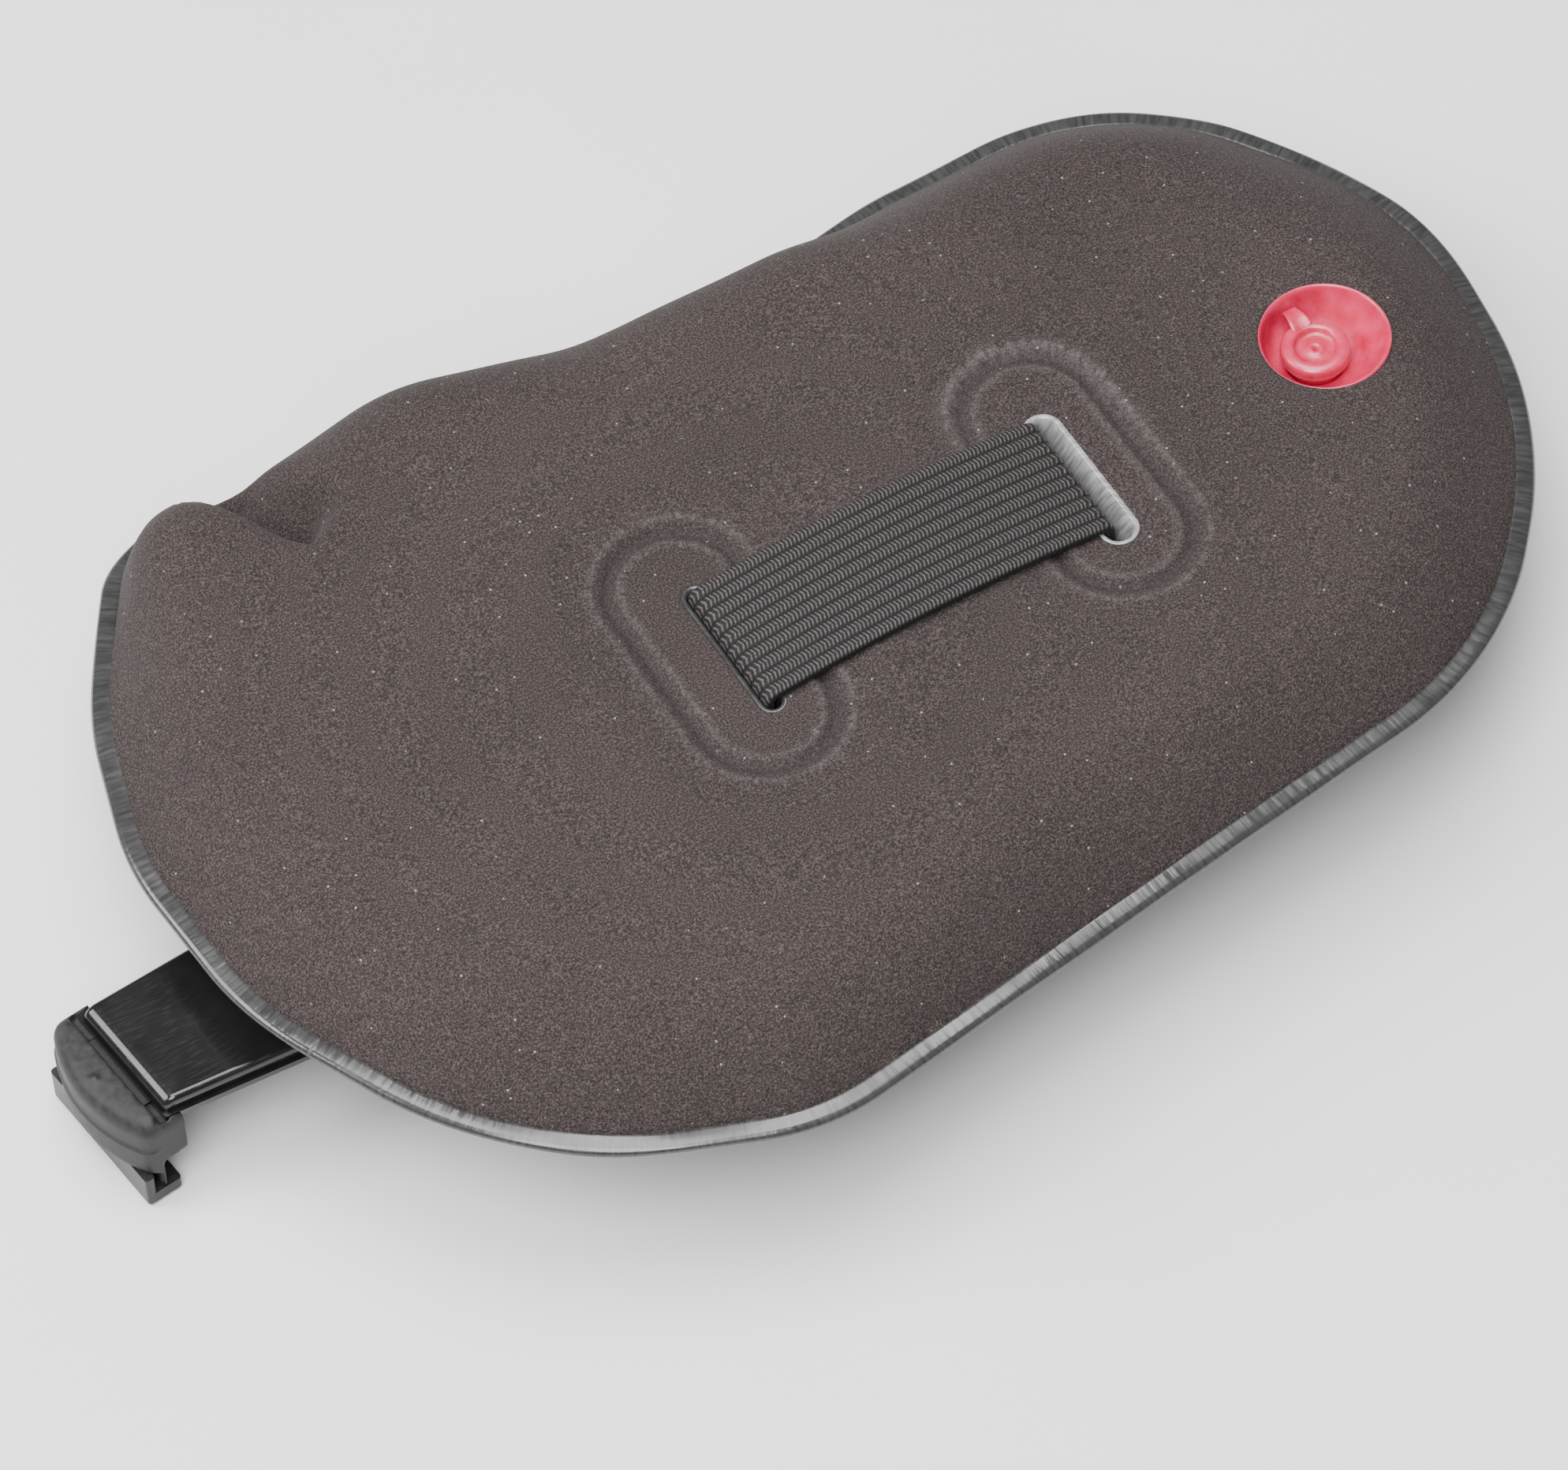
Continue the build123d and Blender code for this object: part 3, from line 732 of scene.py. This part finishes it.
def weld_rim():
    """Flat welded rim that droops outwards, with pressed cross striations."""
    step = 0.36
    droop = 0.5
    upper = [(3.15, 0.30), (2.7, 0.60), (2.1, 0.64), (1.5, 0.66), (0.9, 0.66), (0.4, 0.58), (0.08, 0.32)]
    profile = upper + [(-0.05, 0.0)] + [(d, -h) for d, h in reversed(upper)]
    count = len(outline_loop(0, step))
    run = np.arange(count) * step
    ripple = np.array([noise.noise((s / 0.8, 3.1, 0)) + 0.6 * noise.noise((s / 0.45, 9.7, 0)) for s in run])
    wave = np.array([noise.noise((s / 14, 5.5, 0)) for s in run])
    rings = []
    for inset, height in profile:
        loop = outline_loop(inset, step)
        share = 1 - min(1, max(0, inset / WELD_WIDTH))
        z = rim_height(loop[:, 0], loop[:, 1]) + height - droop * share
        z = z + np.sign(height) * 0.03 * ripple * math.sin(math.pi * (1 - share)) + 0.5 * wave * share
        rings.append(np.column_stack([loop, z]))
    grid = np.stack(rings, axis=1)
    faces = grid_faces(count, len(profile), True, True)
    uv = np.array([[(s, inset) for inset, height in profile] for s in run]).reshape(-1, 2)
    obj = make("cushion_weld", grid.reshape(-1, 3), faces, [WELD], "cushion", uv)
    face_outwards(obj)


def slot_liner(side, name, material):
    """Glossy liner of one slot: a rolled lip on the skin and a tube through the cushion."""
    lip_z = TOP_Z + 0.6
    low_z = BOTTOM_Z + 0.6
    tube_x, tube_width = side * (LEG_X + 0.15), 2.3
    # how far out from the slot's wall, how high, and how far it has drawn in to the tube below
    section = [
        (0.0, low_z, 0.2), (0.0, 15.0, 1.0), (0.0, 22.0, 1.0), (0.0, lip_z - 5.0, 1.0),
        (0.0, lip_z - 2.6, 0.55), (0.0, lip_z - 1.0, 0.12), (0.14, lip_z - 0.15, 0.0),
        (0.42, lip_z + 0.12, 0.0), (0.8, lip_z + 0.10, 0.0), (1.05, lip_z - 0.12, 0.0),
        (1.0, lip_z - 0.5, 0.0), (0.7, lip_z - 1.2, 0.1), (0.6, 20.0, 1.0), (0.6, low_z + 0.9, 0.2),
        (1.0, low_z, 0.0), (0.8, low_z - 0.4, 0.0), (0.3, low_z - 0.4, 0.0),
    ]
    rings = []
    count = 130
    for out, z, drawn in section:
        x, y, width, length = slot_shape(side, out)
        x += (tube_x - x) * drawn
        width += (tube_width + 2 * out - width) * drawn
        loop = stadium_loop(x, y, width, length, 0.05)
        at = np.linspace(0, len(loop), count, endpoint=False).astype(int)
        rings.append(np.column_stack([loop[at], np.full(count, z)]))
    grid = np.stack(rings, axis=1)
    faces = grid_faces(count, len(section), True, True)
    uv = np.array([[(0.4 * i, z) for out, z, drawn in section] for i in range(count)]).reshape(-1, 2)
    obj = make("slot_liner_" + name, grid.reshape(-1, 3), faces, [material], "cushion", uv)
    face_outwards(obj)
    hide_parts("slot_sleeve_" + name)


# ---------------------------------------------------------------- elastic band

def knit(run, across):
    """Relief of the knitted elastic: lengthwise ribs with slight unevenness along them."""
    place = (across + BAND_WIDTH / 2) / (BAND_WIDTH / RIBS)
    rib = np.abs(np.sin(math.pi * place)) ** 0.5
    return KNIT_HEIGHT * rib * (1 + 0.12 * np.sin(run * 1.3 + np.floor(place) * 2.1))


def webbing(name, path, across, body=None):
    """Closed strip of knitted elastic along a path (x, z)."""
    path = np.asarray(path, float)
    run = np.concatenate([[0], np.cumsum(np.linalg.norm(np.diff(path, axis=0), axis=1))])
    along = np.gradient(path, axis=0)
    along /= np.linalg.norm(along, axis=1)[:, None]
    up = np.column_stack([-along[:, 1], along[:, 0]])
    v = np.linspace(-1, 1, across) * BAND_WIDTH / 2
    edge = np.maximum(np.abs(v) - (BAND_WIDTH / 2 - 0.6), 0) / 0.62
    body_half = (BAND_THICKNESS / 2 - KNIT_HEIGHT) * np.sqrt(1 - edge ** 2)
    half = body_half[None, :] + knit(run[:, None], v[None, :]) * (1 - edge[None, :] ** 2)
    rings = []
    for sign, order in ((1, 1), (-1, -1)):
        place = path[:, None, :] + sign * up[:, None, :] * half[:, :, None]
        points = np.stack([place[..., 0], np.broadcast_to(v, half.shape), place[..., 1]], axis=-1)
        rings.append(points[:, ::order])
    grid = np.concatenate(rings, axis=1)
    rows, columns = grid.shape[:2]
    faces = grid_faces(rows, columns, False, True)
    faces.append(tuple(range(columns)))
    faces.append(tuple((rows - 1) * columns + j for j in reversed(range(columns))))
    sides = np.concatenate([v, v[::-1]]) + BAND_WIDTH / 2
    uv = np.stack(np.broadcast_arrays(run[:, None], sides[None, :]), axis=-1).reshape(-1, 2)
    obj = make(name, grid.reshape(-1, 3), faces, [ELASTIC], body, uv)
    face_outwards(obj)
    return obj


def elastic_band():
    """The band over the cushion and down its slots, and its two runs out to the arms."""
    end_z = TOP_Z + 1.3
    crown = 1.5
    outer_x = {-1: LEG_X + 2.2, 1: LEG_X + 1.1}
    bend = 1.3

    def leg(sign):
        foot = (sign * outer_x[sign], RUN_Z, 0)
        line = rounded([foot, (sign * LEG_X, RUN_Z, 1.0), (sign * LEG_X, end_z - bend, 0)], False)
        return resample(line, 0.5, False)

    turn = np.linspace(0, math.pi / 2, 12)[1:]
    start = np.column_stack([-LEG_X + bend * (1 - np.cos(turn)), end_z - bend + bend * np.sin(turn)])
    x = np.arange(start[-1][0], LEG_X - bend, 0.3)[1:]
    over = np.column_stack([x, end_z + crown * (1 - (x / (LEG_X - bend)) ** 2)])
    end = start[::-1] * (-1, 1)
    path = np.vstack([leg(-1), start, over, end, leg(1)[::-1]])
    obj = webbing("elastic_over", path, 161, "cushion")
    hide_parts("elastic_band")
    for sign, name in ((-1, "left"), (1, "right")):
        seam_x = cad("band_loop_" + name)[0 if sign > 0 else 1][0]
        start_x = sign * outer_x[sign]
        step = min(0.4, abs(seam_x - start_x) / 14)
        line = resample(np.array([(start_x, RUN_Z), (seam_x, RUN_Z)]), step, False)
        line = line if sign > 0 else line[::-1]
        run = webbing("elastic_run_" + name, line, 90)
        start = (start_x * MM, 0, RUN_Z * MM)
        end = (seam_x * MM, 0, RUN_Z * MM)
        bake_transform(run)
        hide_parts("elastic_band")


def band_end(sign, name):
    """The band's end: turned round the arm's cross bar and sewn back on itself."""
    low, high = cad("band_loop_" + name)
    seam_x, far_x = (low[0], high[0]) if sign > 0 else (high[0], low[0])
    far_x -= sign * BAND_THICKNESS / 2
    middle_z = RUN_Z - BAND_THICKNESS / 2
    ring = (high[2] - low[2]) / 2 - BAND_THICKNESS / 2
    eye = 6.2
    flare = 1.4
    neck_x = far_x - sign * eye
    open_x = neck_x + sign * flare
    lap = BAND_THICKNESS / 2
    route = [
        (seam_x, middle_z + lap, 0), (neck_x, middle_z + lap, 1.0), (open_x, middle_z + ring, 1.0),
        (far_x, middle_z + ring, ring * 0.9), (far_x, middle_z - ring, ring * 0.9),
        (open_x, middle_z - ring, 1.0), (neck_x, middle_z - lap, 1.0), (seam_x, middle_z - lap, 0),
    ]
    path = resample(rounded(route, False), 0.3, False)
    obj = webbing("band_end_" + name, path if sign > 0 else path[::-1], 90, "arm_" + name)
    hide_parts("band_loop_" + name)
    stitches("band_stitching_" + name, seam_x, sign, middle_z, name)


def stitches(piece, seam_x, sign, middle_z, name):
    """Two rows of sewn thread on both faces of the seam."""
    count = 8
    pitch = BAND_WIDTH / count
    first_row, row_gap = 1.6, 3.0
    stitch = 0.8
    thin, swell = 0.06, 0.22
    sunk, arch = 0.12, 0.28
    rings, around = 9, 8
    points = []
    faces = []
    for row in range(2):
        x = seam_x + sign * (first_row + row_gap * row)
        for k in range(count):
            y = -BAND_WIDTH / 2 + (k + 0.5) * pitch
            for face in (-1, 1):
                first = len(points)
                for i in range(rings):
                    t = i / (rings - 1)
                    radius = thin + swell * math.sin(math.pi * t) ** 0.5
                    z = middle_z + face * (BAND_THICKNESS - sunk + arch * math.sin(math.pi * t))
                    sewn_y = y + (t - 0.5) * pitch * stitch
                    for j in range(around):
                        a = 2 * math.pi * j / around
                        points.append((x + radius * math.cos(a), sewn_y, z + radius * math.sin(a)))
                faces += [tuple(first + q for q in f) for f in grid_faces(rings, around, False, True)]
                faces.append(tuple(first + j for j in range(around)))
                faces.append(tuple(first + (rings - 1) * around + j for j in reversed(range(around))))
    obj = make(piece, points, faces, [THREAD], "arm_" + name)
    face_outwards(obj)
    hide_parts("loop_stitching_" + name)


# ---------------------------------------------------------------- hooks

def hook_coordinates(points, sign):
    """Points in the hook's own frame: outwards from the arm's end, sideways, and up."""
    x = points[:, 0] if sign < 0 else 2 * MIDDLE_X - points[:, 0]
    dx = ARM_END_X - x
    u = dx * math.cos(END_SLANT) - points[:, 1] * math.sin(END_SLANT)
    v = -dx * math.sin(END_SLANT) - points[:, 1] * math.cos(END_SLANT)
    return u, v, points[:, 2]


def outwards(sign):
    """Direction away from the arm's end, for the hook on this side."""
    return np.array((sign * math.cos(END_SLANT), -math.sin(END_SLANT), 0))


def rubber_grip(sign, name):
    """Soft-edged rubber grip, remeshed from its solid, with a parting ridge and a moulded dot."""
    node = "rubber_grip_" + name
    obj = bpy.data.objects.new("grip_rubber_" + name, frame["nodes"][node].data.copy())
    bpy.context.scene.collection.objects.link(obj)
    remesh = obj.modifiers.new("even", "REMESH")
    remesh.mode = "VOXEL"
    remesh.voxel_size = 0.32 * MM
    soften = obj.modifiers.new("soften", "SMOOTH")
    soften.iterations = 8
    bpy.context.view_layer.update()
    evaluated = obj.evaluated_get(bpy.context.evaluated_depsgraph_get())
    mesh = bpy.data.meshes.new_from_object(evaluated)
    obj.modifiers.clear()
    obj.data = mesh
    points = np.array([v.co for v in mesh.vertices]) / MM
    normals = np.array([v.normal for v in mesh.vertices])
    u, v, z = hook_coordinates(points, sign)
    outer = smooth(u, 1.5, 3.0)
    ridge_z, ridge_height, ridge_reach = 3.4, 0.28, 0.28
    dot_u, dot_height, dot_reach = 3.9, 0.45, 0.55
    ridge = ridge_height * np.exp(-((z - ridge_z) / ridge_reach) ** 2) * outer
    round_dot = np.exp(-((u - dot_u) / dot_reach) ** 2 - (v / dot_reach) ** 2)
    dot = dot_height * round_dot * smooth(z, 6.5, 7.5)
    points = points + normals * (ridge + dot)[:, None]
    foot = smooth(z, -1.0, -2.2) * smooth(u, 1.9, 3.0) * smooth(v, 3.0, 8.0)
    points = points - outwards(sign) * (1.0 * foot)[:, None]
    mesh.vertices.foreach_set("co", (points * MM).ravel())
    mesh.materials.clear()
    mesh.materials.append(RUBBER)
    mesh.shade_smooth()
    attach(obj, "arm_" + name)
    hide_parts(node)


def dress(node, material, bevel_mm):
    """Keeps a CAD node, with a finished material and eased edges."""
    obj = frame["nodes"][node]
    if not obj.data.materials:
        obj.data.materials.append(material)
    for item in obj.material_slots:
        item.link = "OBJECT"
        item.material = material
    if bevel_mm:
        bevel = obj.modifiers.new("eased_edges", "BEVEL")
        bevel.width = bevel_mm * MM
        bevel.segments = 3
        bevel.limit_method = "ANGLE"
        bevel.angle_limit = math.radians(40)
        bevel.harden_normals = False


# ---------------------------------------------------------------- valve

def lathe(name, profile, around, levels, lean, body=None):
    """Piece of the valve turned from a closed profile of (radius, height).

    lean gives the share of VALVE_LEAN that the piece is shifted by at a height.
    """
    turn = np.linspace(0, 2 * math.pi, around, endpoint=False)
    points = []
    for a in turn:
        for r, z in profile:
            dx, dy = VALVE_LEAN * lean(z)
            points.append((VALVE_X + dx + r * math.cos(a), VALVE_Y + dy + r * math.sin(a), z))
    faces = grid_faces(around, len(profile), True, True)
    obj = make(name, points, faces, [VALVE], body)
    face_outwards(obj)
    subdivide(obj, levels)
    return obj


def valve():
    """Bowl, tube, ringed stopper and the strap between them; the soft bowl lets the tube lean a little."""
    top = TOP_Z
    floor = STEM_TOP_Z - 1.3

    def settle(z):
        return float(smooth(z, top - 0.3, floor + 1.0))

    bowl = [
        (8.72, top - 0.7), (8.70, top - 0.2), (8.45, top + 0.05), (8.15, top - 0.2), (7.9, top - 0.9),
        (7.5, top - 2.2), (6.9, top - 3.7), (6.2, top - 4.7), (5.2, top - 5.1), (4.3, floor + 0.1),
        (3.78, floor + 0.2), (3.74, floor - 0.6), (4.6, floor - 0.9), (6.4, floor - 0.6),
        (7.4, floor + 0.6), (8.1, top - 2.4), (8.4, top - 1.2),
    ]
    obj = lathe("valve_bowl", bowl, 72, 1, settle)
    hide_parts("valve_body")
    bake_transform(obj)
    low_z = cad("valve_stem")[0][2]
    tube = [
        (3.70, floor), (3.70, STEM_TOP_Z - 0.2), (3.5, STEM_TOP_Z), (2.8, STEM_TOP_Z),
        (2.62, STEM_TOP_Z - 0.2), (2.62, low_z + 0.2), (2.8, low_z), (3.5, low_z), (3.70, low_z + 0.2),
    ]
    obj = lathe("valve_tube", tube, 48, 1, lambda z: 1.0, "valve_stem")
    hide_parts("valve_stem")
    head = PLUG_TOP_Z + 0.5
    seat = STEM_TOP_Z + 0.05
    plug = [
        (0.02, head - 0.62), (0.7, head - 0.62), (1.05, head - 0.66), (1.25, head - 0.82), (1.8, head - 0.86),
        (2.35, head - 0.86), (2.62, head - 0.72), (2.72, head - 0.2), (2.95, head), (3.5, head + 0.05),
        (4.1, head - 0.05), (4.5, head - 0.40), (4.62, head - 1.0), (4.5, seat + 0.05), (4.2, seat),
        (2.7, seat), (2.54, seat - 0.3), (2.54, seat - 5.0), (2.2, seat - 5.5), (0.02, seat - 5.5),
    ]
    obj = lathe("valve_stopper", plug, 64, 1, lambda z: 1.0, "valve_plug")
    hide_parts("valve_plug")
    tether(head)


def tether(head):
    """Strap moulded between the stopper's head and the bowl's wall."""
    turn = math.radians(88)
    out = np.array((math.cos(turn), math.sin(turn)))
    side = np.array((-out[1], out[0]))
    centre = np.array((VALVE_X, VALVE_Y)) + VALVE_LEAN
    rows = []
    stations = np.linspace(0, 1, 13)
    ring = (
        (-1, -0.2), (-0.82, 0.65), (-0.45, 0.2), (0.35, 0.2),
        (0.8, 0.7), (1, -0.2), (0.6, -1), (-0.6, -1),
    )
    for t in stations:
        reach = 3.0 + 3.9 * t
        rise_z = head - 0.1 + 0.55 * math.sin(math.pi * t) - 0.3 * t
        half = 1.35 + 0.25 * math.cos(math.pi * t)
        for a, b in ring:
            rows.append((*(centre + out * reach + side * half * a), rise_z + 0.38 * b))
    columns = len(ring)
    faces = grid_faces(len(stations), columns, False, True)
    faces.append(tuple(range(columns)))
    faces.append(tuple((len(stations) - 1) * columns + j for j in reversed(range(columns))))
    obj = make("valve_strap", rows, faces, [VALVE])
    face_outwards(obj)
    subdivide(obj, 2)
    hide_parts("valve_tether")
    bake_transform(obj)


# ---------------------------------------------------------------- camera, floor and light

def camera():
    """Looks down the slope of the pad from the hook's side, as a long lens would."""
    data = bpy.data.cameras.new("camera")
    lens_mm = 204.97
    place = (-0.32393, -0.58483, 0.93122)
    data.sensor_width = 36
    data.lens = lens_mm
    data.clip_start = 0.01
    obj = bpy.data.objects.new("camera", data)
    bpy.context.scene.collection.objects.link(obj)
    forward = Vector((0.26913, 0.51501, -0.81384)).normalized()
    right = forward.cross(Vector((0, 0, 1))).normalized()
    up = right.cross(forward)
    roll = math.radians(3.794)
    up = up * math.cos(roll) + right * math.sin(roll)
    right = forward.cross(up)
    turn = Matrix((right, up, -forward)).transposed()
    obj.matrix_world = Matrix.Translation(place) @ turn.to_4x4()
    bpy.context.scene.camera = obj


def area_light(name, place, size, power):
    """Square soft box aimed at the middle of the object."""
    data = bpy.data.lights.new(name, "AREA")
    data.shape = "SQUARE"
    data.size = size
    data.energy = power
    obj = bpy.data.objects.new(name, data)
    bpy.context.scene.collection.objects.link(obj)
    aim = Vector((-0.01, 0, 0.02)) - Vector(place)
    obj.matrix_world = Matrix.Translation(place) @ aim.to_track_quat("-Z", "Y").to_matrix().to_4x4()


def studio():
    """Plain pale floor under the hooks, a white room and soft boxes."""
    mesh = bpy.data.meshes.new("floor")
    reach = 3.0
    z = FLOOR_Z * MM
    corners = [(-reach, -reach, z), (reach, -reach, z), (reach, reach, z), (-reach, reach, z)]
    mesh.from_pydata(corners, [], [(0, 1, 2, 3)])
    look = Look("floor_paper", (0.85, 0.85, 0.85), 0.8)
    look.color(look.ramp(look.noise(60, 2.0), (0.3, 0.80), (0.7, 0.83)))
    mesh.materials.append(look.material)
    floor = bpy.data.objects.new("floor", mesh)
    bpy.context.scene.collection.objects.link(floor)
    world = bpy.data.worlds.new("studio")
    world.use_nodes = True
    background = world.node_tree.nodes["Background"]
    background.inputs["Color"].default_value = (1, 1, 1, 1)
    background.inputs["Strength"].default_value = 0.30
    bpy.context.scene.world = world
    area_light("key", (-0.40, -0.45, 0.95), 0.6, 15)
    area_light("top", (0.0, 0.12, 1.30), 0.85, 22)
    area_light("side", (-0.75, 0.38, 0.66), 0.5, 9)


# ---------------------------------------------------------------- assembly

camera()
studio()
cushion()
weld_rim()
elastic_band()
for sign, name in ((-1, "left"), (1, "right")):
    # The right liner takes the paler vinyl as a painted reflection; the left keeps the rim's darker vinyl.
    slot_liner(sign, name, WELD if sign < 0 else PAINTED_REFLECTION_VINYL)
    band_end(sign, name)
    rubber_grip(sign, name)
    dress("hook_arm_" + name, ARM, 0.25)
    dress("hook_strip_" + name, STRIP, 0.2)
    dress("hook_screws_" + name, STEEL, 0.1)
valve()
dress("valve_flap", VALVE, 0.1)
